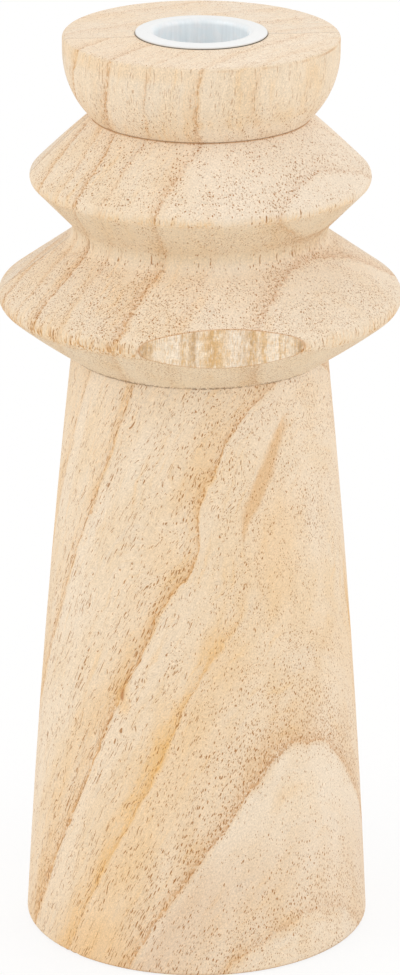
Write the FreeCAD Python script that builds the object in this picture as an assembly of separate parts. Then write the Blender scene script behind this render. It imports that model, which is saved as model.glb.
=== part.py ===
import FreeCAD, Part
import math
import os

# A turned wooden candle stand with a metal candle cup.
# Millimetres, +Z up, origin on the axis at the underside, front of the stand towards -Y.

# Tapered body
body_height = 151.5
foot_radius = 43.75
foot_edge_round = 1.0
body_top_radius = 31.9
body_edge_break = 0.45
body_side_swell = 1.0

# Double disc: two sharp discs turned in one piece, with a soft crease between them.
# Each height is counted from the one before it: foot, lower rim, crease, upper rim, seat.
disc_foot_overhang = 0.6
disc_foot_edge_break = 0.35
lower_rim_radius = 50.0
lower_rim_rise = 14.65
lower_rim_round = 3.4
lower_face_bow_radius = 165.0
crease_radius = 31.7
crease_rise = 16.95
crease_round = 4.0
upper_rim_radius = 42.1
upper_rim_rise = 13.4
upper_rim_round = 2.3
upper_face_bow_radius = 300.0
seat_rise = 15.35
seat_radius = 27.05
seat_edge_break = 0.2

# Boards that the double disc is glued up from: where the glue line runs behind the axis,
# how far round it is turned, and how far round and how deep the sawn face of the front
# board cuts the rim
disc_board_turn_deg = 8.5
disc_glue_line_behind_axis = 3.4
sawn_face_turn_deg = 6.6
sawn_face_depth = 4.0

# Cap, whose foot is as wide as the seat that it stands on
cap_height = 20.25
cap_foot_edge_break = 0.15
cap_radius = 34.0
cap_bowl_height = 16.4
cap_edge_round = 1.0
cap_board_turn_deg = 6.7
cap_glue_line_behind_axis = -2.2

# Candle cup, pressed from sheet, for a 22 mm candle
cup_inner_radius = 11.5
cup_depth = 22.0
cup_sheet = 0.5
cup_floor_round = 1.5
cup_lip_round = 1.0
cup_flange_width = 4.65
cup_flange_slope_deg = 7.0
cup_side_clearance = 0.3
cup_end_clearance = 1.0
cup_hole_chamfer = 0.5

# Spigot under the cap, glued into a recess in the double disc
spigot_wall = 5.6
spigot_length = 6.0
spigot_chamfer = 0.8
spigot_side_clearance = 0.1
spigot_end_clearance = 0.5

# Dowel that joins the double disc to the body
dowel_radius = 10.0
dowel_length_in_body = 28.0
dowel_length_in_disc = 26.0
dowel_chamfer = 1.2
dowel_flute_count = 16
dowel_flute_radius = 0.6
dowel_side_clearance = 0.1
dowel_end_clearance = 0.8

# How far a cutting or splitting tool reaches past the wood that it cuts
overrun = 5.0

FULL_TURN_DEG = 360.0
ORIGIN = FreeCAD.Vector(0, 0, 0)
UP = FreeCAD.Vector(0, 0, 1)
OUTWARD = FreeCAD.Vector(1, 0, 0)
INWARD = FreeCAD.Vector(-1, 0, 0)
DOWN = FreeCAD.Vector(0, 0, -1)


def place(radius, height):
    """A point of a turned outline, in the plane of X and Z."""
    return FreeCAD.Vector(radius, 0, height)


def direction(degrees):
    """A unit direction in the plane of X and Z, counted from +X towards +Z."""
    angle = math.radians(degrees)
    return FreeCAD.Vector(math.cos(angle), 0, math.sin(angle))


def scaled(vector, length):
    copy = FreeCAD.Vector(vector)
    copy.multiply(length)
    return copy


def unit(vector):
    copy = FreeCAD.Vector(vector)
    copy.normalize()
    return copy


def left_of(vector):
    """The vector turned a quarter turn from +X towards +Z."""
    return FreeCAD.Vector(-vector.z, 0, vector.x)


class Outline:
    """A closed outline in the plane of X and Z, drawn edge by edge and turned about Z."""

    def __init__(self, start):
        self.start = start
        self.last = start
        self.edges = []

    def line_to(self, end):
        self.edges.append(Part.LineSegment(self.last, end).toShape())
        self.last = end

    def arc_to(self, centre, end):
        """The shorter arc about the centre, from the last point to the end."""
        radius = (end - centre).Length
        middle = centre + scaled(unit((self.last - centre) + (end - centre)), radius)
        self.edges.append(Part.Arc(self.last, middle, end).toShape())
        self.last = end

    def turned(self):
        self.line_to(self.start)
        face = Part.Face(Part.Wire(self.edges))
        return face.revolve(ORIGIN, UP, FULL_TURN_DEG)


def crossing_tangent(centre_a, radius_a, centre_b, radius_b, side):
    """Where the straight line that crosses between two circles touches each of them."""
    gap = centre_b - centre_a
    along = (radius_a + radius_b) / gap.Length
    across = side * math.sqrt(1 - along * along)
    normal = scaled(unit(gap), along) + scaled(left_of(unit(gap)), across)
    return centre_a + scaled(normal, radius_a), centre_b - scaled(normal, radius_b)


def bowed_face(centre, radius, edge_point, bow_radius, side):
    """A slightly bowed face from an edge point to a rounded rim that it runs smoothly into.

    Returns the centre of the bow and the point where it meets the rim's round.
    """
    gap = edge_point - centre
    reach = bow_radius - radius
    along = (reach * reach - bow_radius * bow_radius + gap.Length * gap.Length) / (gap.Length + gap.Length)
    across = side * math.sqrt(reach * reach - along * along)
    bow_centre = centre + scaled(unit(gap), along) + scaled(left_of(unit(gap)), across)
    return bow_centre, centre + scaled(unit(centre - bow_centre), radius)


def cylinder(radius, bottom, top):
    return Part.makeCylinder(radius, top - bottom, place(0, bottom), UP)


def cone(bottom_radius, top_radius, bottom, top):
    return Part.makeCone(bottom_radius, top_radius, top - bottom, place(0, bottom), UP)


# Heights, from the underside up
disc_bottom = body_height
lower_rim_centre = place(lower_rim_radius - lower_rim_round, disc_bottom + lower_rim_rise)
crease_centre = place(crease_radius + crease_round, lower_rim_centre.z + crease_rise)
upper_rim_centre = place(upper_rim_radius - upper_rim_round, crease_centre.z + upper_rim_rise)
disc_top = upper_rim_centre.z + seat_rise
cap_top = disc_top + cap_height
dowel_bottom = disc_bottom - dowel_length_in_body
dowel_top = disc_bottom + dowel_length_in_disc

# Radii that follow from what fits together
disc_foot_radius = body_top_radius + disc_foot_overhang
cup_outer_radius = cup_inner_radius + cup_sheet
cup_flange_radius = cup_inner_radius + cup_flange_width
cup_hole_radius = cup_outer_radius + cup_side_clearance
spigot_radius = cup_hole_radius + spigot_wall


def dowel_hole():
    """The hole drilled for the dowel, half in the body and half in the double disc."""
    radius = dowel_radius + dowel_side_clearance
    return cylinder(radius, dowel_bottom - dowel_end_clearance, dowel_top + dowel_end_clearance)


def tapered_body():
    """The tall tapered body, with a slightly swelling side."""
    side_start = place(foot_radius, foot_edge_round)
    side_end = place(body_top_radius, body_height - body_edge_break)
    chord = side_end - side_start
    # the arc's radius follows from its chord and how far it swells past the chord
    half_chord = chord.Length / 2
    side_radius = (half_chord * half_chord / body_side_swell + body_side_swell) / 2
    inward = left_of(unit(chord))
    chord_middle = scaled(side_start + side_end, 1 / 2)
    side_centre = chord_middle + scaled(inward, side_radius - body_side_swell)
    outline = Outline(place(0, 0))
    outline.line_to(place(foot_radius - foot_edge_round, 0))
    outline.arc_to(place(foot_radius - foot_edge_round, foot_edge_round), side_start)
    outline.arc_to(side_centre, side_end)
    edge_centre = place(body_top_radius - body_edge_break, body_height - body_edge_break)
    outline.arc_to(edge_centre, place(body_top_radius - body_edge_break, body_height))
    outline.line_to(place(0, body_height))
    return outline.turned().cut(dowel_hole())


def spigot_recess():
    radius = spigot_radius + spigot_side_clearance
    return cylinder(radius, disc_top - spigot_length - spigot_end_clearance, disc_top + overrun)


def double_disc_blank():
    """Both discs as turned, before the boards are told apart."""
    foot_edge = place(disc_foot_radius, disc_bottom + disc_foot_edge_break)
    seat_edge = place(seat_radius, disc_top - seat_edge_break)
    under_bow, under_end = bowed_face(
        lower_rim_centre, lower_rim_round, foot_edge, lower_face_bow_radius, -1)
    top_bow, top_start = bowed_face(
        upper_rim_centre, upper_rim_round, seat_edge, upper_face_bow_radius, 1)
    lower_face_start, lower_face_end = crossing_tangent(
        lower_rim_centre, lower_rim_round, crease_centre, crease_round, -1)
    upper_face_start, upper_face_end = crossing_tangent(
        crease_centre, crease_round, upper_rim_centre, upper_rim_round, 1)
    outline = Outline(place(0, disc_bottom))
    outline.line_to(place(disc_foot_radius - disc_foot_edge_break, disc_bottom))
    outline.arc_to(place(disc_foot_radius - disc_foot_edge_break, disc_bottom + disc_foot_edge_break),
                   foot_edge)
    outline.arc_to(under_bow, under_end)
    outline.arc_to(lower_rim_centre, lower_face_start)
    outline.line_to(lower_face_end)
    outline.arc_to(crease_centre, upper_face_start)
    outline.line_to(upper_face_end)
    outline.arc_to(upper_rim_centre, top_start)
    outline.arc_to(top_bow, seat_edge)
    outline.arc_to(place(seat_radius - seat_edge_break, disc_top - seat_edge_break),
                   place(seat_radius - seat_edge_break, disc_top))
    outline.line_to(place(0, disc_top))
    return outline.turned().cut(dowel_hole()).cut(spigot_recess()).cut(cup_hole())


def front_half(blank, turn_deg, plane_behind_axis, widest):
    """A block that covers all of the blank in front of a glue line."""
    width = widest + overrun
    box = blank.BoundBox
    height = box.ZLength + overrun + overrun
    corner = FreeCAD.Vector(-width, -width, box.ZMin - overrun)
    block = Part.makeBox(width + width, width + plane_behind_axis, height, corner)
    block.rotate(ORIGIN, UP, turn_deg)
    return block


def double_disc_boards():
    """The front board, with the flat of its sawn face left on the lower rim, and the back board."""
    blank = double_disc_blank()
    front = front_half(blank, disc_board_turn_deg, disc_glue_line_behind_axis, lower_rim_radius)
    sawn_face_behind_axis = sawn_face_depth - lower_rim_radius
    beyond_sawn_face = front_half(blank, sawn_face_turn_deg, sawn_face_behind_axis, lower_rim_radius)
    return blank.common(front).cut(beyond_sawn_face), blank.cut(front)


def cup_hole():
    """The hole for the cup, with its chamfered mouth."""
    hole = cylinder(cup_hole_radius, cap_top - cup_depth - cup_end_clearance, cap_top + overrun)
    mouth = cone(cup_hole_radius, cup_hole_radius + cup_hole_chamfer, cap_top - cup_hole_chamfer, cap_top)
    return hole.fuse(mouth)


def cap_blank():
    """The bowl-shaped cap and its spigot as turned, before the boards are told apart."""
    foot_edge = place(seat_radius, disc_top + cap_foot_edge_break)
    widest = place(cap_radius, disc_top + cap_bowl_height)
    # the bowl's arc stands upright at the widest point, so its centre is level with it
    rise = widest.z - foot_edge.z
    run = widest.x - foot_edge.x
    bowl_radius = (rise * rise / run + run) / 2
    spigot_bottom = disc_top - spigot_length
    outline = Outline(place(0, spigot_bottom))
    outline.line_to(place(spigot_radius - spigot_chamfer, spigot_bottom))
    outline.line_to(place(spigot_radius, spigot_bottom + spigot_chamfer))
    outline.line_to(place(spigot_radius, disc_top))
    outline.line_to(place(seat_radius - cap_foot_edge_break, disc_top))
    outline.arc_to(place(seat_radius - cap_foot_edge_break, disc_top + cap_foot_edge_break), foot_edge)
    outline.arc_to(place(cap_radius - bowl_radius, widest.z), widest)
    outline.line_to(place(cap_radius, cap_top - cap_edge_round))
    outline.arc_to(place(cap_radius - cap_edge_round, cap_top - cap_edge_round),
                   place(cap_radius - cap_edge_round, cap_top))
    outline.line_to(place(0, cap_top))
    return outline.turned().cut(cup_hole())


def cap_boards():
    blank = cap_blank()
    front = front_half(blank, cap_board_turn_deg, cap_glue_line_behind_axis, cap_radius)
    return blank.common(front), blank.cut(front)


def joining_dowel():
    """A hardwood dowel with chamfered ends and flutes that let the glue out."""
    body = cylinder(dowel_radius, dowel_bottom, dowel_top)
    ends = [edge for edge in body.Edges if edge.Curve.TypeId == "Part::GeomCircle"]
    dowel = body.makeChamfer(dowel_chamfer, ends)
    flute = Part.makeCylinder(dowel_flute_radius, dowel_top - dowel_bottom + overrun + overrun,
                              place(dowel_radius, dowel_bottom - overrun), UP)
    for index in range(dowel_flute_count):
        groove = flute.copy()
        groove.rotate(ORIGIN, UP, FULL_TURN_DEG * index / dowel_flute_count)
        dowel = dowel.cut(groove)
    return dowel


def candle_cup():
    """The cup: floor, straight wall, rolled lip and a flange that slopes down to the wood."""
    floor_bottom = cap_top - cup_depth
    outer_floor_round = cup_floor_round + cup_sheet
    outer_lip_round = cup_lip_round + cup_sheet
    floor_corner = place(cup_inner_radius - cup_floor_round, floor_bottom + outer_floor_round)
    slope = math.tan(math.radians(cup_flange_slope_deg))
    normal = direction(FULL_TURN_DEG / 4 - cup_flange_slope_deg)
    downhill = direction(-cup_flange_slope_deg)
    # the flange's rounded edge stands on the wood, and its slope sets the height of the lip
    half_sheet = cup_sheet / 2
    edge_centre = place(cup_flange_radius - half_sheet, cap_top + half_sheet)
    under_edge = edge_centre - scaled(normal, half_sheet)
    over_edge = edge_centre + scaled(normal, half_sheet)
    lip_x = cup_outer_radius + cup_lip_round
    under_lip_x = lip_x + cup_lip_round * normal.x
    under_lip_z = under_edge.z + (under_edge.x - under_lip_x) * slope
    lip_centre = place(lip_x, under_lip_z - cup_lip_round * normal.z)
    outline = Outline(place(0, floor_bottom))
    outline.line_to(place(floor_corner.x, floor_bottom))
    outline.arc_to(floor_corner, floor_corner + scaled(OUTWARD, outer_floor_round))
    outline.line_to(lip_centre + scaled(INWARD, cup_lip_round))
    outline.arc_to(lip_centre, lip_centre + scaled(normal, cup_lip_round))
    outline.line_to(under_edge)
    outline.arc_to(edge_centre, edge_centre + scaled(downhill, half_sheet))
    outline.arc_to(edge_centre, over_edge)
    outline.line_to(lip_centre + scaled(normal, outer_lip_round))
    outline.arc_to(lip_centre, lip_centre + scaled(INWARD, outer_lip_round))
    outline.line_to(floor_corner + scaled(OUTWARD, cup_floor_round))
    outline.arc_to(floor_corner, floor_corner + scaled(DOWN, cup_floor_round))
    outline.line_to(place(0, floor_corner.z - cup_floor_round))
    return outline.turned()


disc_front, disc_back = double_disc_boards()
cap_front, cap_back = cap_boards()
pieces = {
    "tapered_body": tapered_body(),
    "joining_dowel": joining_dowel(),
    "double_disc_front_board": disc_front,
    "double_disc_back_board": disc_back,
    "cap_front_board": cap_front,
    "cap_back_board": cap_back,
    "candle_cup": candle_cup(),
}

os.makedirs("parts", exist_ok=True)
for name, shape in pieces.items():
    for solid in shape.Solids:
        box = solid.BoundBox
        print(name, "valid", solid.isValid(), "volume", round(solid.Volume, 1),
              "z", round(box.ZMin, 3), round(box.ZMax, 3), "width", round(box.XLength, 3))
    piece = shape.Solids[0] if len(shape.Solids) == 1 else Part.makeCompound(shape.Solids)
    piece.exportStep("parts/" + name + ".step")
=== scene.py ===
import math

import bpy
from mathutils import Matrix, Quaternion, Vector

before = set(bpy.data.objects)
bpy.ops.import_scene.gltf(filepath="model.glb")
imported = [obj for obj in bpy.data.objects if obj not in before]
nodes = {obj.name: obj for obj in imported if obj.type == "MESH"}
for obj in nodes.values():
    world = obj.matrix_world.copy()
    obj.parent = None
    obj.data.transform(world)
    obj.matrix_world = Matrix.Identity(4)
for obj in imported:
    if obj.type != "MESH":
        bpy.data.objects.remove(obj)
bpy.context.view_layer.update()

MM_PER_METRE = 1000.0


# Colours, as linear red, green and blue.

CREAM_WOOD = (0.89, 0.760, 0.610)
PALE_WOOD = (0.87, 0.710, 0.525)
WARM_WOOD = (0.83, 0.625, 0.400)
OCHRE_WOOD = (0.84, 0.505, 0.185)
ROSY_WOOD = (0.73, 0.520, 0.350)
BROWN_LINE = (0.54, 0.230, 0.050)
PORE_BROWN = (0.38, 0.150, 0.026)
GREY_WOOD = (0.80, 0.675, 0.530)
# The next colour is painted shade on the discs' undersides.
UNDERSIDE_SHADE_WOOD = (0.77, 0.620, 0.420)
SAWN_WOOD = (0.94, 0.800, 0.620)
SAWN_WHITE = (0.95, 0.860, 0.750)
SAWN_OCHRE = (0.74, 0.440, 0.160)
SAWN_BROWN = (0.42, 0.235, 0.100)
SEAM_DARK = (0.18, 0.085, 0.035)
KNOT_BROWN = (0.46, 0.180, 0.050)
WHITE_COAT = (0.79, 0.790, 0.780)
CUP_SHADOW = (0.12, 0.090, 0.060)
ZINC_GREY = (0.87, 0.915, 0.935)
PALE_ZINC = (0.92, 0.930, 0.935)
SPECK_GREY = (0.16, 0.170, 0.180)
STUDIO_WHITE = (1.0, 1.0, 1.0)
FLOOR_WHITE = (0.96, 0.955, 0.945)


# Heights, radii and offsets of the stand in millimetres and its boards' turns from the front, as
# the CAD parts have them.

BODY_TOP = 151.5
LOWER_RIM = 166.15
CREASE = 183.1
UPPER_RIM = 196.5
CAP_FOOT = 211.85
CAP_TOP = 232.1
DISC_TURN = math.radians(8.5)
DISC_GLUE_LINE = -3.4
SAWN_TURN = math.radians(6.6)
SAWN_FACE = 46.0
CAP_TURN = math.radians(6.7)
CAP_GLUE_LINE = 2.2
CUP_RADIUS = 11.5
FLANGE_RADIUS = 16.15


def empty_tree(owner):
    """The node tree of a material or world, with nothing in it."""
    owner.use_nodes = True
    owner.node_tree.nodes.clear()
    return owner.node_tree


class Value:
    """A number, vector or colour inside a material, so that sums on it read as sums."""

    def __init__(self, sheet, socket):
        self.sheet = sheet
        self.socket = socket

    def __add__(self, other):
        return self.sheet.sum("ADD", self, other)

    def __sub__(self, other):
        return self.sheet.sum("SUBTRACT", self, other)

    def __rsub__(self, other):
        return self.sheet.sum("SUBTRACT", other, self)

    def __mul__(self, other):
        return self.sheet.sum("MULTIPLY", self, other)

    def __pow__(self, other):
        return self.sheet.sum("POWER", self, other)


class Sheet:
    """The node tree of one material and the steps that it is built from."""

    def __init__(self, name):
        self.material = bpy.data.materials.new(name)
        self.tree = empty_tree(self.material)

    def node(self, kind, **settings):
        made = self.tree.nodes.new(kind)
        for key, setting in settings.items():
            setattr(made, key, setting)
        return made

    def feed(self, socket, value):
        if isinstance(value, Value):
            self.tree.links.new(value.socket, socket)
        elif isinstance(value, tuple) and len(socket.default_value) == 4:
            socket.default_value = (*value, 1.0)
        else:
            socket.default_value = value

    def sum(self, operation, *values):
        made = self.node("ShaderNodeMath", operation=operation)
        for socket, value in zip(made.inputs, values):
            self.feed(socket, value)
        return Value(self, made.outputs[0])

    def vector(self, operation, *values, output=0):
        made = self.node("ShaderNodeVectorMath", operation=operation)
        for socket, value in zip(made.inputs, values):
            self.feed(socket, value)
        return Value(self, made.outputs[output])

    def scaled(self, vector, factor):
        """A vector or colour times a number."""
        made = self.node("ShaderNodeVectorMath", operation="SCALE")
        self.feed(made.inputs["Vector"], vector)
        self.feed(made.inputs["Scale"], factor)
        return Value(self, made.outputs["Vector"])

    def dot(self, vector, direction):
        return self.vector("DOT_PRODUCT", vector, direction, output="Value")

    def position(self):
        """The point on the piece in millimetres."""
        made = self.node("ShaderNodeTexCoord")
        return self.scaled(Value(self, made.outputs["Object"]), MM_PER_METRE)

    def parts(self, vector):
        made = self.node("ShaderNodeSeparateXYZ")
        self.feed(made.inputs[0], vector)
        return [Value(self, output) for output in made.outputs]

    def join(self, x, y, z):
        made = self.node("ShaderNodeCombineXYZ")
        for socket, value in zip(made.inputs, (x, y, z)):
            self.feed(socket, value)
        return Value(self, made.outputs[0])

    def radius(self, x, y):
        """The distance from the turning axis."""
        return self.sum("SQRT", x * x + y * y)

    def step(self, value, low, high):
        """Goes smoothly from 0 at low to 1 at high, whichever of the two is the larger."""
        made = self.node("ShaderNodeMapRange", interpolation_type="SMOOTHSTEP")
        turned = low > high
        self.feed(made.inputs["Value"], value)
        self.feed(made.inputs["From Min"], high if turned else low)
        self.feed(made.inputs["From Max"], low if turned else high)
        self.feed(made.inputs["To Min"], 1.0 if turned else 0.0)
        self.feed(made.inputs["To Max"], 0.0 if turned else 1.0)
        return Value(self, made.outputs["Result"])

    def noise(self, vector, detail=2.0, roughness=0.5, colour=False):
        made = self.node("ShaderNodeTexNoise")
        self.feed(made.inputs["Vector"], vector)
        self.feed(made.inputs["Scale"], 1.0)
        self.feed(made.inputs["Detail"], detail)
        self.feed(made.inputs["Roughness"], roughness)
        return Value(self, made.outputs["Color" if colour else "Fac"])

    def cells(self, vector, flat=False):
        """The distance to the nearest scattered point, and that point's random numbers."""
        made = self.node("ShaderNodeTexVoronoi", voronoi_dimensions="2D" if flat else "3D")
        self.feed(made.inputs["Vector"], vector)
        self.feed(made.inputs["Scale"], 1.0)
        return Value(self, made.outputs["Distance"]), self.parts(Value(self, made.outputs["Color"]))

    def ramp(self, value, low, high, stops):
        """Up to four numbers along a value: a stop is a place between low and high and its numbers."""
        span = self.node("ShaderNodeMapRange")
        self.feed(span.inputs["Value"], value)
        self.feed(span.inputs["From Min"], low)
        self.feed(span.inputs["From Max"], high)
        made = self.node("ShaderNodeValToRGB")
        self.tree.links.new(span.outputs["Result"], made.inputs["Fac"])
        band = made.color_ramp
        while len(band.elements) > 1:
            band.elements.remove(band.elements[-1])
        for number, (place, colour) in enumerate(sorted(stops)):
            share = (place - low) / (high - low)
            stop = band.elements[0] if number == 0 else band.elements.new(share)
            stop.position = share
            stop.color = (*colour, 1.0)[:4]
        return self.parts(Value(self, made.outputs["Color"])) + [Value(self, made.outputs["Alpha"])]

    def mix(self, first, second, share):
        made = self.node("ShaderNodeMix", data_type="RGBA", clamp_factor=True)
        sockets = {socket.identifier: socket for socket in made.inputs}
        self.feed(sockets["Factor_Float"], share)
        self.feed(sockets["A_Color"], first)
        self.feed(sockets["B_Color"], second)
        outputs = {socket.identifier: socket for socket in made.outputs}
        return Value(self, outputs["Result_Color"])

    def coats(self, colour, *coats):
        """Lays coats over a colour, each a tint and the share of it that covers what is below."""
        for tint, share in coats:
            colour = self.mix(colour, tint, share)
        return colour

    def bump(self, height, depth):
        """The surface's direction where its height times the depth in millimetres stands out."""
        made = self.node("ShaderNodeBump")
        self.feed(made.inputs["Height"], height)
        self.feed(made.inputs["Distance"], depth / MM_PER_METRE)
        self.feed(made.inputs["Strength"], 1.0)
        return Value(self, made.outputs["Normal"])

    def finish(self, **inputs):
        """Ends the material in a surface shader with the given inputs."""
        shader = self.node("ShaderNodeBsdfPrincipled")
        for name, value in inputs.items():
            self.feed(shader.inputs[name.replace("_", " ").title().replace("Ior", "IOR")], value)
        output = self.node("ShaderNodeOutputMaterial")
        self.tree.links.new(shader.outputs["BSDF"], output.inputs["Surface"])
        return self.material


# How the wood grew, fitted to its ring lines: the height that it is measured from, its slope along
# X, Y and upwards (u), its bends along pairs of these, and round hills in it. A hill has the X and
# the height of its middle, its width and how high it is. Lengths are in millimetres.

BODY_GROWTH = {
    "level": 75.0,
    "slope": (0.653, -0.680, -0.334),
    "bends": {"xx": 0.000254, "uu": 0.000281, "xu": 0.001108},
    "hills": (
        ((31.61, 49.69), 16.49, 21.55), ((13.16, -4.12), 15.54, 3.45),
        ((-9.86, 36.89), 5.43, -10.93),
    ),
}
FRONT_GROWTH = {
    "level": 190.0,
    "slope": (0.7688, -0.5718, -0.2862),
    "bends": {"xx": -0.00567, "yy": -0.00416, "xy": 0.00574, "xu": 0.00477, "yu": -0.00454},
}
BACK_GROWTH = {
    "level": 190.0,
    "slope": (-0.46, 0.87, 0.12),
    "bends": {"xx": 0.0031, "yu": 0.0024},
}

# Growth rings: how far along the growth each ends, how strong it shows, how coarse its pores are
# from 0 to 1, and how wide its darker wood is in millimetres. The arch on the body is one of them.

ARCH = 45.0
BODY_RINGS = (
    (-66.0, 0.7, 0.3, 9.0), (-48.0, 0.8, 0.3, 10.0), (-31.0, 0.6, 0.2, 8.0),
    (-16.0, 0.8, 0.4, 9.0), (12.8, 1.0, 0.6, 12.0), (28.4, 1.0, 0.0, 7.0),
    (ARCH, 0.8, 1.0, 13.0), (60.5, 0.5, 0.9, 11.0), (80.0, 0.7, 0.3, 10.0),
)
DISC_RINGS = (
    (-48.0, 0.6, 0.4, 8.0), (-30.0, 0.7, 0.4, 7.0), (-20.0, 0.4, 0.3, 4.0),
    (-11.87, 1.0, 0.8, 5.5), (-3.5, 0.35, 0.3, 4.0), (9.61, 0.9, 0.6, 7.0),
    (17.0, 0.3, 0.3, 4.0), (24.04, 1.0, 0.8, 5.0), (36.0, 0.7, 0.3, 8.0),
)
CAP_RINGS = (
    (-48.0, 0.6, 0.4, 8.0), (-31.5, 1.0, 0.5, 8.0), (-15.0, 1.0, 0.8, 10.0),
    (-2.5, 0.35, 0.4, 3.0), (9.6, 1.0, 0.5, 4.5), (17.5, 0.5, 0.3, 3.0),
    (19.2, 0.4, 0.3, 1.2), (20.9, 0.45, 0.3, 1.2), (36.0, 0.7, 0.3, 8.0),
)
BACK_RINGS = (
    (-40.0, 0.5, 0.3, 7.0), (-26.0, 0.6, 0.3, 8.0), (-12.0, 0.6, 0.4, 8.0),
    (1.0, 0.5, 0.3, 7.0), (11.0, 0.6, 0.4, 6.0), (23.0, 0.7, 0.3, 8.0),
    (36.0, 0.6, 0.3, 8.0), (49.0, 0.7, 0.3, 9.0),
)

# Each ring is darkest just before its end. Past it, a weak ring fades over a longer way.

RING_MARGIN = 30.0
DARKEST_BEFORE_END = 0.10
WEAKEST_FADE = 1.7
FADE_LESS_IF_STRONG = 1.4

# How far the fibres lean along X and Y for every millimetre of height.

BODY_LEAN = (0.34, -0.24)
HEAD_LEAN = (0.02, -0.05)

# How wide and how long the patterns in the wood are, across and along the fibre in millimetres.

BROAD_WAVES = (13.0, 26.0)
FINE_WAVES = (2.6, 5.5)
PATCHES = (8.0, 26.0)
CROWDS = (4.0, 12.0)
FIBRES = (0.28, 2.0)
GRAINS = (0.34, 0.42)
BEADS = (0.62, 1.1)
BREAKS = (0.6, 1.6)

# How fast the patterns that follow the rings change along the growth, across it and lengthways.

TIDES = (0.8, 0.12, 0.07)
ROWS = (0.42, 0.05, 0.04)

# How far the waves push the wood, times the waver, and how far a piece's patterns are moved along
# X, Y and Z, times its seed. In millimetres.

BROAD_PUSH = 3.0
FINE_PUSH = 1.7
SEED_SHIFT = (31.0, 17.0, 23.0)

# Pores: how far apart small and wide ones are, and how wide a wide one is, in radii of a small one.

SMALL_SPACING = 4.5
WIDE_SPACING = 7.0
WIDE_RADIUS = 1.4


def hill(sheet, x, up, centre, width):
    """A round hill of height 1 over the x and the height of its centre."""
    squares = (x - centre[0]) ** 2.0 + (up - centre[1]) ** 2.0
    return sheet.sum("EXPONENT", squares * (-0.5 / width**2))


def growth(sheet, point, level, slope, bends, hills=()):
    """How far a point of the wood lies along its growth, in millimetres."""
    x, y, z = sheet.parts(point)
    up = z - level
    ways = {"x": x, "y": y, "u": up}
    along = x * slope[0] + y * slope[1] + up * slope[2]
    for (first, second), bend in bends.items():
        along = along + ways[first] * ways[second] * bend
    for centre, width, height in hills:
        along = along + hill(sheet, x, up, centre, width) * height
    return along


def rings(sheet, along, table):
    """How near a ring's end is, the ring's strength and coarseness, and how new the next ring is."""
    low, high = table[0][0] - RING_MARGIN, table[-1][0] + RING_MARGIN
    stops = []
    for end, strength, coarse, width in table:
        fade = WEAKEST_FADE - strength * FADE_LESS_IF_STRONG
        stops.append((end - width, (0.0, strength, coarse, 0.0)))
        stops.append((end - DARKEST_BEFORE_END, (1.0, strength, coarse, 0.0)))
        stops.append((end + fade, (0.0, strength, coarse, 1.0)))
    return sheet.ramp(along, low, high, stops)


def lengthways(sheet, point, lean):
    """Coordinates across the fibre and, last, along it."""
    x, y, z = sheet.parts(point)
    return sheet.join(x - z * lean[0], y - z * lean[1], z)


def drawn_out(sheet, course, across, along, **settings):
    """Noise that is across millimetres wide and along millimetres long."""
    spread = (1.0 / across, 1.0 / across, 1.0 / along)
    return sheet.noise(sheet.vector("MULTIPLY", course, spread), **settings)


def sway(sheet, course, across, along, size):
    """A wavering shift of the wood by about a fifth of the size."""
    shift = drawn_out(sheet, course, across, along, colour=True)
    return sheet.scaled(sheet.vector("SUBTRACT", shift, (0.5, 0.5, 0.5)), size)


def vessels(sheet, course, spacing, radius, share):
    """Long pores along the fibre, which the surface cuts into dots and dashes."""
    distance, (chance, size, _) = sheet.cells(sheet.scaled(course, 1.0 / spacing), flat=True)
    out = distance * spacing - (size * 0.6 + 0.7) * radius
    return sheet.step(out, 0.035, -0.050) * sheet.step(chance - share, 0.02, -0.02)


def even(sheet, along, point):
    """Rings, pores, ripples and fibres are as strong everywhere."""
    return 1.0, 1.0, 1.0, 1.0


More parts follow.
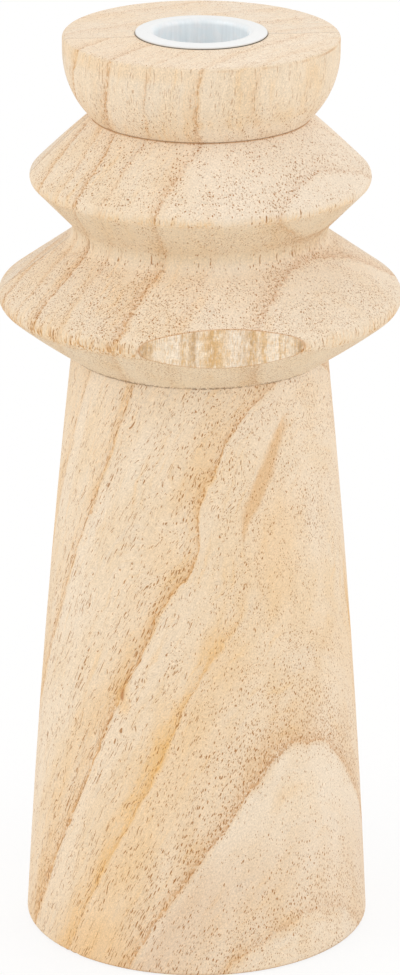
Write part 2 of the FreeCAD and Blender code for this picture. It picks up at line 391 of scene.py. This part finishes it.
def wood(name, figure, table, lean, seed, ground, warmth, tone, keen, waver, fullness, girth,
         rough=0.3, grit=0.5, places=even, marks=None):
    """Raw sanded wood with growth rings, pores and fibres that run through the solid.

    The figure is how the wood grew. Warmth is how much its ground colour warms in patches, tone how
    strong the rings' colours are, and keen how narrow their lines are. Waver is how much the grain
    wanders. Fullness is the share of pores, girth a pore's radius in millimetres, rough the share of
    wide ones and grit the strength of the finest grain. Places says where rings, pores, ripples and
    fibres are weaker, and marks adds what is on this piece alone.
    """
    sheet = Sheet(name)
    flat_point = sheet.position()
    moved = sheet.vector("ADD", flat_point, tuple(seed * side for side in SEED_SHIFT))
    straight = lengthways(sheet, moved, lean)
    flat_along = growth(sheet, flat_point, **figure)
    ring_share, pore_share, ripple, fibre_share = places(sheet, flat_along, flat_point)

    broad = sway(sheet, straight, *BROAD_WAVES, waver * BROAD_PUSH)
    fine = sway(sheet, straight, *FINE_WAVES, ripple * (waver * FINE_PUSH))
    shift = sheet.vector("ADD", broad, fine)
    point = sheet.vector("ADD", flat_point, shift)
    course = lengthways(sheet, sheet.vector("ADD", moved, shift), lean)
    along = growth(sheet, point, **figure)
    near, strength, coarse, new = rings(sheet, along, table)
    strength = strength * ring_share

    _, deep, length = sheet.parts(course)
    layers = sheet.join(along, deep, length)
    tide = sheet.noise(sheet.vector("MULTIPLY", layers, TIDES), detail=3.0)
    rows = sheet.noise(sheet.vector("MULTIPLY", layers, ROWS), detail=1.0)
    patches = drawn_out(sheet, straight, *PATCHES)
    crowd = drawn_out(sheet, straight, *CROWDS, detail=1.0) * 0.5 + rows * 0.5
    fibres = drawn_out(sheet, course, *FIBRES, roughness=0.6)
    grains = drawn_out(sheet, course, *GRAINS, detail=1.0)

    mottle = sheet.step(patches, 0.25, 0.65) * 0.7 + sheet.step(fibres, 0.25, 0.75) * 0.5
    zone = (near ** 1.4) * strength * mottle
    beads = sheet.step(drawn_out(sheet, course, *BEADS, detail=1.0), 0.42, 0.53)
    colour = sheet.coats(
        ground,
        (WARM_WOOD, sheet.step(patches, 0.40, 0.66) * warmth),
        (CREAM_WOOD, (new ** 2.0) * strength * (tone * 0.35)),
        (OCHRE_WOOD, zone * (1.0 - coarse * 0.72) * tone),
        (ROSY_WOOD, zone * coarse * (tone * 0.44)),
        (OCHRE_WOOD, sheet.step(tide, 0.54, 0.76) * 0.28),
        (GREY_WOOD, sheet.step(tide, 0.47, 0.28) * 0.40),
        (BROWN_LINE, (near ** keen) * strength * (beads * 0.82 + 0.08)),
    )

    broken = sheet.step(drawn_out(sheet, course, *BREAKS, detail=1.0), 0.40, 0.50)
    share = (near ** 5.0) * strength * 0.60 + sheet.step(crowd, 0.30, 0.62) * pore_share * fullness
    small = vessels(sheet, course, girth * SMALL_SPACING, girth, share) * broken
    wide_share = (near ** 1.5) * coarse * ring_share * 1.15
    wide_share = wide_share + sheet.step(crowd, 0.46, 0.66) * pore_share * (fullness * rough)
    wide = vessels(sheet, straight, girth * WIDE_SPACING, girth * WIDE_RADIUS, wide_share) * broken
    depth = sheet.sum("MAXIMUM", small * 0.90, wide)

    if marks:
        colour, depth = marks(sheet, flat_point, point, along, colour, depth)
    colour = sheet.mix(colour, PORE_BROWN, depth * 0.90)
    shade = (fibres - 0.5) * 0.38 * fibre_share + (grains - 0.5) * grit + 0.99
    return sheet.finish(
        base_color=sheet.scaled(colour, shade),
        roughness=sheet.step(fibres, 0.2, 0.8) * 0.12 + 0.60,
        specular_ior_level=0.28,
        normal=sheet.bump(fibres * 0.35 - depth, 0.02),
    )


def facing(turn):
    """The direction that a board's flat side faces, turned from the front."""
    return (math.sin(turn), -math.cos(turn), 0.0)


def thread(sheet, value, place, width):
    """1 where the value is near its place, and 0 from a width away."""
    return sheet.step(sheet.sum("ABSOLUTE", value - place), width, width * 0.25)


def glue_line(sheet, flat_point, turn, place):
    """The fine dark line where two boards were glued: 1 on the line."""
    broken = sheet.noise(sheet.scaled(flat_point, 0.8))
    out = sheet.dot(flat_point, facing(turn))
    return thread(sheet, out, place, 0.26) * sheet.step(broken, 0.20, 0.50)


def painted_seam_shade(sheet, flat_point):
    """Broken dark painted shade in the seam between the body and the lower disc."""
    height = sheet.parts(flat_point)[2]
    dots = sheet.noise(sheet.scaled(flat_point, 1.3))
    patchy = sheet.noise(sheet.scaled(flat_point, 0.06)) * 0.5 + dots
    return thread(sheet, height, BODY_TOP, 0.5) * sheet.step(patchy, 0.66, 0.84) * 0.60


# The body's light brown wedge: the height of its middle, its half length and half width, and its
# course, which starts from a height and an X and has a slope and a bend.

WEDGE_HEIGHT = 127.5
WEDGE_HALF_LENGTH = 16.0
WEDGE_HALF_WIDTH = 2.3
WEDGE_START = 111.9
WEDGE_START_X = 10.9
WEDGE_SLOPE = 0.194
WEDGE_BEND = 0.00508

# Spots on the body: the colour of each, where it lies, how far it spreads each way in millimetres,
# and how strong it shows.

BODY_SPOTS = (
    (OCHRE_WOOD, (-18.5, -34.4, 71.5), (2.4, 4.0, 6.0), 0.45),
    (KNOT_BROWN, (-18.5, -34.4, 72.5), (0.8, 3.0, 2.0), 0.80),
    (KNOT_BROWN, (-41.8, -5.3, 29.2), (0.5, 0.6, 0.5), 0.90),
    (OCHRE_WOOD, (-24.0, -35.0, 4.0), (12.0, 16.0, 11.0), 0.30),
    (OCHRE_WOOD, (19.5, -30.5, 109.0), (8.0, 12.0, 21.0), 0.34),
    (OCHRE_WOOD, (-9.0, -35.0, 109.0), (5.0, 9.0, 9.0), 0.22),
    (OCHRE_WOOD, (7.0, -37.9, 82.5), (7.0, 9.0, 9.0), 0.20),
)


def body_places(sheet, along, point):
    """Rings fade by the wedge and above the arch. In the arch, pores are few and the grain is calm."""
    z = sheet.parts(point)[2]
    by_wedge = sheet.step(along, 15.0, 19.0) * sheet.step(along, 42.0, 34.0)
    by_wedge = by_wedge * sheet.step(z, 78.0, 102.0)
    above = sheet.step(along, 26.0, 32.0) * sheet.step(along, ARCH + 1.0, ARCH - 0.5)
    above = above * sheet.step(z, 56.0, 72.0)
    ring_share = 1.0 - by_wedge * 0.85 - above * (sheet.step(z, 78.0, 74.0) * 0.35 + 0.15)
    arch = sheet.step(along, ARCH - 1.0, ARCH + 2.0) * sheet.step(z, 10.0, 26.0)
    pore_share = 1.0 - arch * 0.65 - sheet.step(along, -20.0, -34.0) * 0.4
    ripple = 1.0 - sheet.step(along, 20.0, 38.0) * 0.75
    return ring_share, pore_share, ripple, 1.0


def wedge_share(sheet, x, z):
    """1 inside the light brown wedge, which narrows to a point at both ends."""
    up = z - WEDGE_START
    middle = up * WEDGE_SLOPE + up * up * WEDGE_BEND + WEDGE_START_X
    share = (z - WEDGE_HEIGHT) * (1.0 / WEDGE_HALF_LENGTH)
    half_width = (1.0 - share * share) * WEDGE_HALF_WIDTH
    away = sheet.sum("ABSOLUTE", x - middle)
    return sheet.step(away - half_width, 0.5, -1.3) * sheet.step(half_width, 0.0, 0.6)


def spot_share(sheet, point, centre, size):
    """1 in the middle of a spot, fading out to 0 round it."""
    spread = tuple(1.0 / length for length in size)
    offset = sheet.vector("MULTIPLY", sheet.vector("SUBTRACT", point, centre), spread)
    return sheet.step(sheet.vector("LENGTH", offset, output="Value"), 1.2, 0.3)


def body_marks(sheet, flat_point, point, along, colour, depth):
    """The golden and pale parts of the front, the wedge, the spots, painted shade in the seam and the
    foot's edge.
    """
    x, y, z = sheet.parts(point)
    front = sheet.step(y, 0.0, -5.0)
    golden = sheet.step(along, -8.0, 4.0) * sheet.step(along, ARCH + 0.5, ARCH - 1.0) * front
    belt = thread(sheet, along, 31.0, 7.5) * sheet.step(z, 100.0, 60.0) * front
    arch = sheet.step(along, ARCH - 1.0, ARCH + 2.0) * front
    foot = arch * sheet.step(z, 46.0, 18.0) * sheet.step(along, 62.0, 48.0)
    corner = sheet.step(x, 6.0, 20.0) * sheet.step(z, 92.0, 112.0) * front
    left = sheet.step(along, -2.0, -14.0) * front
    left = left * sheet.step(z, 64.0, 44.0) * sheet.step(z, 10.0, 22.0)
    right = sheet.step(x, 22.0, 34.0) * sheet.step(z, 84.0, 66.0) * front
    pale = arch * sheet.step(z, 18.0, 34.0) * 0.22 + corner * 0.32 + left * 0.35 + right * 0.25
    wedge = wedge_share(sheet, x, z) * front
    edge = sheet.step(sheet.parts(flat_point)[2], 0.9, 0.1)
    colour = sheet.coats(
        colour,
        (OCHRE_WOOD, golden * 0.09 + belt * 0.24),
        (ROSY_WOOD, foot * 0.48),
        (CREAM_WOOD, pale),
        (ROSY_WOOD, wedge * 0.64),
        (OCHRE_WOOD, wedge * 0.38),
        (BROWN_LINE, wedge * 0.07),
        *((tint, spot_share(sheet, point, centre, size) * strength)
          for tint, centre, size, strength in BODY_SPOTS),
        # Painted shade in the seam under the lower disc.
        (SEAM_DARK, painted_seam_shade(sheet, flat_point)),
        (BROWN_LINE, edge * 0.35),
    )
    return colour, depth


def head_places(sheet, along, point):
    """The lower disc has the most pores, and the crease, the upper rim and the cap's side have few."""
    z = sheet.parts(point)[2]
    steep = sheet.sum("MAXIMUM", thread(sheet, z, CREASE, 3.8), thread(sheet, z, UPPER_RIM, 1.8))
    side = sheet.step(z, CAP_FOOT + 6.0, CAP_FOOT + 14.0)
    lower = sheet.step(z, CREASE, CREASE - 6.0)
    pore_share = 1.0 - steep * 0.6 - side * 0.4 + lower * 0.7
    return 1.0, pore_share, 1.0, 1.0 - steep * 0.65


# The discs from the bottom up: a height, and there how much it is an underside darkened with painted
# shade, a rim, or a top lightened with painted light.

DISC_LEVELS = (
    (BODY_TOP, (1.0, 0.0, 0.0)), (LOWER_RIM - 3.2, (0.9, 0.1, 0.0)),
    (LOWER_RIM - 1.2, (0.3, 1.0, 0.0)), (LOWER_RIM + 2.2, (0.0, 0.0, 0.0)),
    (CREASE - 1.5, (0.1, 0.0, 0.0)), (CREASE + 1.0, (0.9, 0.0, 0.0)),
    (UPPER_RIM - 2.6, (0.9, 0.1, 0.0)), (UPPER_RIM - 0.8, (0.2, 0.8, 0.0)),
    (UPPER_RIM + 0.8, (0.0, 0.2, 1.0)), (UPPER_RIM + 2.0, (0.0, 0.0, 1.0)),
)
LEVEL_MARGIN = 5.0


def disc_marks(sheet, flat_point, point, along, colour, depth):
    """The undersides darkened with painted shade, the upper disc's top lightened with painted light,
    the ochre rims, the glue line and the seams of the discs, darkened with painted shade.
    """
    height = sheet.parts(flat_point)[2]
    underside_shade, rim, pale, _ = sheet.ramp(
        height, BODY_TOP - LEVEL_MARGIN, CAP_FOOT + LEVEL_MARGIN, DISC_LEVELS)
    x, y, z = sheet.parts(point)
    ticks = sheet.noise(sheet.join(x * 1.8, y * 1.8, z * 0.22), detail=1.0)
    rim = rim * sheet.step(sheet.noise(sheet.join(x * 0.16, y * 0.16, 0.0)), 0.30, 0.60)
    low_rim = rim * sheet.step(height, CREASE, LOWER_RIM + 3.0)
    colour = sheet.coats(
        colour,
        # Cream over the discs, more on the right, and more on the upper disc's top as painted light.
        (CREAM_WOOD, sheet.step(x, -14.0, 6.0) * (pale * 0.32 + 0.42) * (1.0 - underside_shade)),
        # Painted shade: the undersides darker.
        (UNDERSIDE_SHADE_WOOD, underside_shade * 0.50),
        (OCHRE_WOOD, rim * (sheet.step(ticks, 0.40, 0.62) * 0.45 + 0.15)),
        (BROWN_LINE, low_rim * sheet.step(ticks, 0.54, 0.64) * 0.65),
        (SEAM_DARK, glue_line(sheet, flat_point, DISC_TURN, DISC_GLUE_LINE) * 0.50),
        # Painted shade in the seam where the lower disc sits on the body.
        (SEAM_DARK, painted_seam_shade(sheet, flat_point)),
        # Painted shade: a dark line where the cap's foot meets the upper disc.
        (BROWN_LINE, thread(sheet, height, CAP_FOOT, 0.35) * 0.7),
    )
    return colour, depth * (1.0 - underside_shade * 0.25)


# Bands on the sawn face: the X of each in millimetres, and how ochre, brown and white it is.

SAWN_BANDS = (
    (-14.0, (0.6, 0.8, 0.0)), (-12.2, (0.6, 0.4, 0.0)), (-9.6, (0.2, 0.0, 0.1)),
    (-4.6, (0.1, 0.0, 0.3)), (-3.9, (0.8, 0.3, 0.0)), (-3.2, (0.2, 0.0, 0.1)),
    (-2.2, (0.6, 0.5, 0.0)), (-1.3, (0.6, 0.8, 0.0)), (-0.4, (0.2, 0.1, 0.2)),
    (0.8, (0.5, 0.0, 0.1)), (2.6, (1.0, 0.25, 0.0)), (4.8, (0.8, 0.1, 0.0)),
    (7.6, (0.2, 0.0, 0.5)), (10.6, (0.3, 0.2, 0.4)), (13.0, (0.9, 0.4, 0.0)),
    (14.2, (0.2, 0.0, 0.2)), (15.6, (0.9, 0.2, 0.0)), (16.6, (0.2, 0.0, 0.2)),
    (19.0, (0.1, 0.0, 0.3)), (19.5, (0.9, 0.2, 0.0)), (20.0, (0.2, 0.0, 0.1)),
    (22.6, (0.3, 0.2, 0.0)), (24.2, (0.5, 0.9, 0.0)),
)
SAWN_REACH = 30.0


def disc_front_marks(sheet, flat_point, point, along, colour, depth):
    """The marks of the discs, and the paler sawn face with its upright bands."""
    colour, depth = disc_marks(sheet, flat_point, point, along, colour, depth)
    out = sheet.dot(flat_point, facing(SAWN_TURN))
    sawn = sheet.step(out, SAWN_FACE - 0.08, SAWN_FACE - 0.03)
    outline = sheet.step(out, SAWN_FACE - 0.50, SAWN_FACE - 0.10) * (1.0 - sawn)
    x, _, z = sheet.parts(flat_point)
    wander = sheet.noise(sheet.join(x * 0.5, 0.0, z * 0.16)) * 2.4 - 1.2
    ochre, brown, white, _ = sheet.ramp(x + wander, -SAWN_REACH, SAWN_REACH, SAWN_BANDS)
    scratches = sheet.noise(sheet.join(x * 0.35, 0.0, z * 3.2), detail=3.0)
    blots = sheet.noise(sheet.join(x * 0.9, 0.0, z * 0.5))
    streaks = sheet.noise(sheet.join(x * 2.6, 0.0, z * 0.5), detail=1.0)
    face = sheet.coats(
        SAWN_WOOD,
        (SAWN_WHITE, white),
        (SAWN_OCHRE, ochre * sheet.step(blots, 0.20, 0.60) * 0.90),
        (SAWN_BROWN, brown * sheet.step(blots, 0.25, 0.62) * 0.82),
        (SAWN_OCHRE, sheet.step(streaks, 0.52, 0.62) * 0.45),
    )
    face = sheet.scaled(face, scratches * 0.40 + 0.78)
    colour = sheet.coats(colour, (face, sawn * 0.95), (BROWN_LINE, outline * 0.60))
    return colour, depth * (1.0 - sawn * 0.7)


def cap_marks(sheet, flat_point, point, along, colour, depth):
    """The top paler with painted light, the glue line, painted shade in the seam at the foot and the
    painted shadow under the cup's flange.
    """
    x, y, z = sheet.parts(flat_point)
    top = sheet.step(z, CAP_TOP - 0.5, CAP_TOP - 0.1)
    threads = sheet.noise(sheet.join(along * 2.4, y * 0.35, x * 0.35), detail=2.0)
    chips = sheet.noise(sheet.join(x * 0.12, y * 0.12, 0.0), detail=4.0)
    edge = thread(sheet, z, CAP_TOP - 0.8, 0.40) * sheet.step(x, 0.0, 12.0)
    edge = edge * sheet.step(chips, 0.40, 0.70)
    rounding = thread(sheet, z, CAP_TOP - 2.0, 3.0) * sheet.step(x, 4.0, -10.0)
    base = sheet.step(z, CAP_FOOT + 6.0, CAP_FOOT + 2.0) * sheet.step(x, -6.0, 8.0)
    shadow = sheet.step(sheet.radius(x, y), FLANGE_RADIUS + 0.35, FLANGE_RADIUS + 0.05) * top
    colour = sheet.coats(
        colour,
        # Painted light: the top face paler.
        (CREAM_WOOD, top * 0.48),
        (ROSY_WOOD, top * sheet.step(threads, 0.50, 0.62) * 0.38),
        (SEAM_DARK, glue_line(sheet, flat_point, CAP_TURN, CAP_GLUE_LINE) * 0.42),
        (BROWN_LINE, edge * 0.55),
        (OCHRE_WOOD, rounding * 0.16),
        (CREAM_WOOD, base * 0.50),
        # Painted shade: the dark line in the seam at the cap's foot.
        (SEAM_DARK, thread(sheet, z, CAP_FOOT, 0.30) * 0.65),
        (CUP_SHADOW, shadow * 0.8),
    )
    side = sheet.step(z, CAP_FOOT + 5.0, CAP_FOOT + 12.0) * (1.0 - top)
    return colour, depth * (1.0 - side * 0.42)


def cup_metal():
    """White coated flange that turns softly into the bare zinc of the cup's inside."""
    sheet = Sheet("cup_metal")
    point = sheet.position()
    x, y, z = sheet.parts(point)
    radius = sheet.radius(x, y)
    inside = sheet.step(radius, CUP_RADIUS + 1.3, CUP_RADIUS)
    cloud = sheet.noise(sheet.scaled(point, 0.35), detail=3.0)
    drawn = sheet.noise(sheet.join(x * 1.6, y * 1.6, z * 0.12))
    zinc = sheet.mix(ZINC_GREY, PALE_ZINC, sheet.step(cloud, 0.40, 0.66))
    zinc = sheet.scaled(zinc, drawn * 0.20 + 0.90)
    distance, (chance, _, _) = sheet.cells(sheet.scaled(point, 0.30))
    specks = sheet.step(distance, 0.075, 0.04) * sheet.step(chance, 0.12, 0.08)
    # The flange's lower outer edge darker: partly its dark cut edge, partly painted shadow where it
    # meets the wood.
    edge = sheet.step(radius, FLANGE_RADIUS - 0.8, FLANGE_RADIUS - 0.4)
    edge = edge * sheet.step(z, CAP_TOP + 0.22, CAP_TOP + 0.06)
    return sheet.finish(
        base_color=sheet.coats(
            WHITE_COAT, (zinc, inside), (SPECK_GREY, specks * 0.8), (CUP_SHADOW, edge * 0.85)),
        metallic=inside * 0.10,
        roughness=cloud * 0.14 + 0.30,
        specular_ior_level=0.5,
        normal=sheet.bump(cloud, 0.05),
    )


def dress(node, material):
    """Gives a CAD part its material."""
    piece = nodes[node]
    piece.data.materials.clear()
    piece.data.materials.append(material)


# What the front boards and what the back boards and the dowel have in common.

FRONT = {
    "figure": FRONT_GROWTH, "lean": HEAD_LEAN, "ground": PALE_WOOD, "tone": 0.60, "waver": 1.1,
    "places": head_places,
}
BACK = {"figure": BACK_GROWTH, "table": BACK_RINGS, "lean": HEAD_LEAN, "warmth": 0.45}

dress("tapered_body", wood(
    "body_wood", BODY_GROWTH, BODY_RINGS, BODY_LEAN, seed=1.0, ground=PALE_WOOD, warmth=0.55,
    tone=1.0, keen=13.0, waver=1.4, fullness=0.85, girth=0.100, places=body_places,
    marks=body_marks))
dress("double_disc_front_board", wood(
    "disc_front_wood", table=DISC_RINGS, seed=2.0, warmth=0.35, keen=6.5, fullness=0.95,
    girth=0.114, rough=0.42, grit=0.55, marks=disc_front_marks, **FRONT))
dress("double_disc_back_board", wood(
    "disc_back_wood", seed=3.0, ground=GREY_WOOD, tone=0.60, keen=10.0, waver=0.9, fullness=0.70,
    girth=0.100, places=head_places, marks=disc_marks, **BACK))
dress("cap_front_board", wood(
    "cap_front_wood", table=CAP_RINGS, seed=4.0, warmth=0.40, keen=7.0, fullness=0.90,
    girth=0.095, marks=cap_marks, **FRONT))
dress("cap_back_board", wood(
    "cap_back_wood", seed=5.0, ground=GREY_WOOD, tone=0.60, keen=10.0, waver=0.9, fullness=0.50,
    girth=0.092, places=head_places, marks=cap_marks, **BACK))
dress("joining_dowel", wood(
    "dowel_wood", seed=6.0, ground=WARM_WOOD, tone=0.50, keen=12.0, waver=0.6, fullness=0.40,
    girth=0.100, **BACK))
dress("candle_cup", cup_metal())


# The studio. Its lamps are given by name, place in metres and power in watts.

FLOOR_SIZE = 30.0
FLOOR_DROP = 0.0001
FLOOR_GLOW = 0.82
AMBIENT_LIGHT = 0.84
LAMP_AIM = (0.0, 0.0, 0.12)
LAMP_SIZE = 1.6
LAMPS = (
    ("key_lamp", (-1.9, -0.8, 1.7), 11.4),
    ("fill_lamp", (1.9, -0.7, 1.3), 8.0),
    ("back_lamp", (0.3, 1.9, 1.6), 6.0),
)
CAMERA_PLACE = (0.00027, -1.182244, 0.533166)
CAMERA_AIM = (0.00027, 0.0, 0.114696)
CAMERA_ROLL = math.radians(0.3151)
LENS_MM = 184.14
SENSOR_WIDTH_MM = 36.0


def light_path(tree):
    """A factor that is 1 for what the camera, a gloss or a clear surface sees directly."""
    path = tree.nodes.new("ShaderNodeLightPath")
    seen = path.outputs["Is Camera Ray"]
    for other in ("Is Glossy Ray", "Is Transmission Ray"):
        most = tree.nodes.new("ShaderNodeMath")
        most.operation = "MAXIMUM"
        tree.links.new(seen, most.inputs[0])
        tree.links.new(path.outputs[other], most.inputs[1])
        seen = most.outputs[0]
    return seen


def white_light(tree, kind, strength):
    """A white shader that shines with a strength."""
    made = tree.nodes.new(kind)
    made.inputs["Color"].default_value = (*STUDIO_WHITE, 1.0)
    made.inputs["Strength"].default_value = strength
    return made.outputs[0]


def end_in_blend(tree, output, share, first, second):
    """Ends a node tree in a blend of two shaders, with the given share of the second."""
    mix = tree.nodes.new("ShaderNodeMixShader")
    end = tree.nodes.new(output)
    tree.links.new(share, mix.inputs["Fac"])
    tree.links.new(first, mix.inputs[1])
    tree.links.new(second, mix.inputs[2])
    tree.links.new(mix.outputs[0], end.inputs["Surface"])


def studio_world():
    """White where it is seen, and a softer white where it only lights the stand."""
    world = bpy.data.worlds.new("studio")
    bpy.context.scene.world = world
    tree = empty_tree(world)
    lit = white_light(tree, "ShaderNodeBackground", AMBIENT_LIGHT)
    shown = white_light(tree, "ShaderNodeBackground", 1.0)
    end_in_blend(tree, "ShaderNodeOutputWorld", light_path(tree), lit, shown)


def add_object(name, data):
    """A new object in the scene."""
    made = bpy.data.objects.new(name, data)
    bpy.context.scene.collection.objects.link(made)
    return made


def studio_floor():
    """A wide pale floor that shows as white and still keeps the stand's shadow."""
    mesh = bpy.data.meshes.new("floor")
    half = FLOOR_SIZE / 2.0
    corners = ((-half, -half), (half, -half), (half, half), (-half, half))
    mesh.from_pydata([(x, y, -FLOOR_DROP) for x, y in corners], [], [(0, 1, 2, 3)])
    floor = add_object("floor", mesh)
    material = bpy.data.materials.new("floor")
    tree = empty_tree(material)
    matt = tree.nodes.new("ShaderNodeBsdfDiffuse")
    matt.inputs["Color"].default_value = (*FLOOR_WHITE, 1.0)
    bright = white_light(tree, "ShaderNodeEmission", 1.0)
    share = tree.nodes.new("ShaderNodeMath")
    share.operation = "MULTIPLY"
    share.inputs[1].default_value = FLOOR_GLOW
    tree.links.new(light_path(tree), share.inputs[0])
    end_in_blend(tree, "ShaderNodeOutputMaterial", share.outputs[0], matt.outputs[0], bright)
    mesh.materials.append(material)


def aim_at(piece, place, aim, roll=0.0):
    """Puts a lamp or camera at a place, turned towards a point."""
    piece.location = place
    piece.rotation_mode = "QUATERNION"
    turn = (Vector(aim) - Vector(place)).to_track_quat("-Z", "Y")
    piece.rotation_quaternion = turn @ Quaternion((0.0, 0.0, 1.0), roll)


def soft_lamp(name, place, power):
    """A large square lamp that faces the stand."""
    lamp = bpy.data.lights.new(name, "AREA")
    lamp.shape = "SQUARE"
    lamp.size = LAMP_SIZE
    lamp.energy = power
    aim_at(add_object(name, lamp), place, LAMP_AIM)


def photo_camera():
    """The camera at the photograph's angle."""
    data = bpy.data.cameras.new("camera")
    data.lens = LENS_MM
    data.sensor_width = SENSOR_WIDTH_MM
    camera = add_object("camera", data)
    aim_at(camera, CAMERA_PLACE, CAMERA_AIM, CAMERA_ROLL)
    bpy.context.scene.camera = camera


studio_world()
studio_floor()
for lamp_name, lamp_place, lamp_power in LAMPS:
    soft_lamp(lamp_name, lamp_place, lamp_power)
photo_camera()
bpy.context.scene.view_settings.view_transform = "Standard"
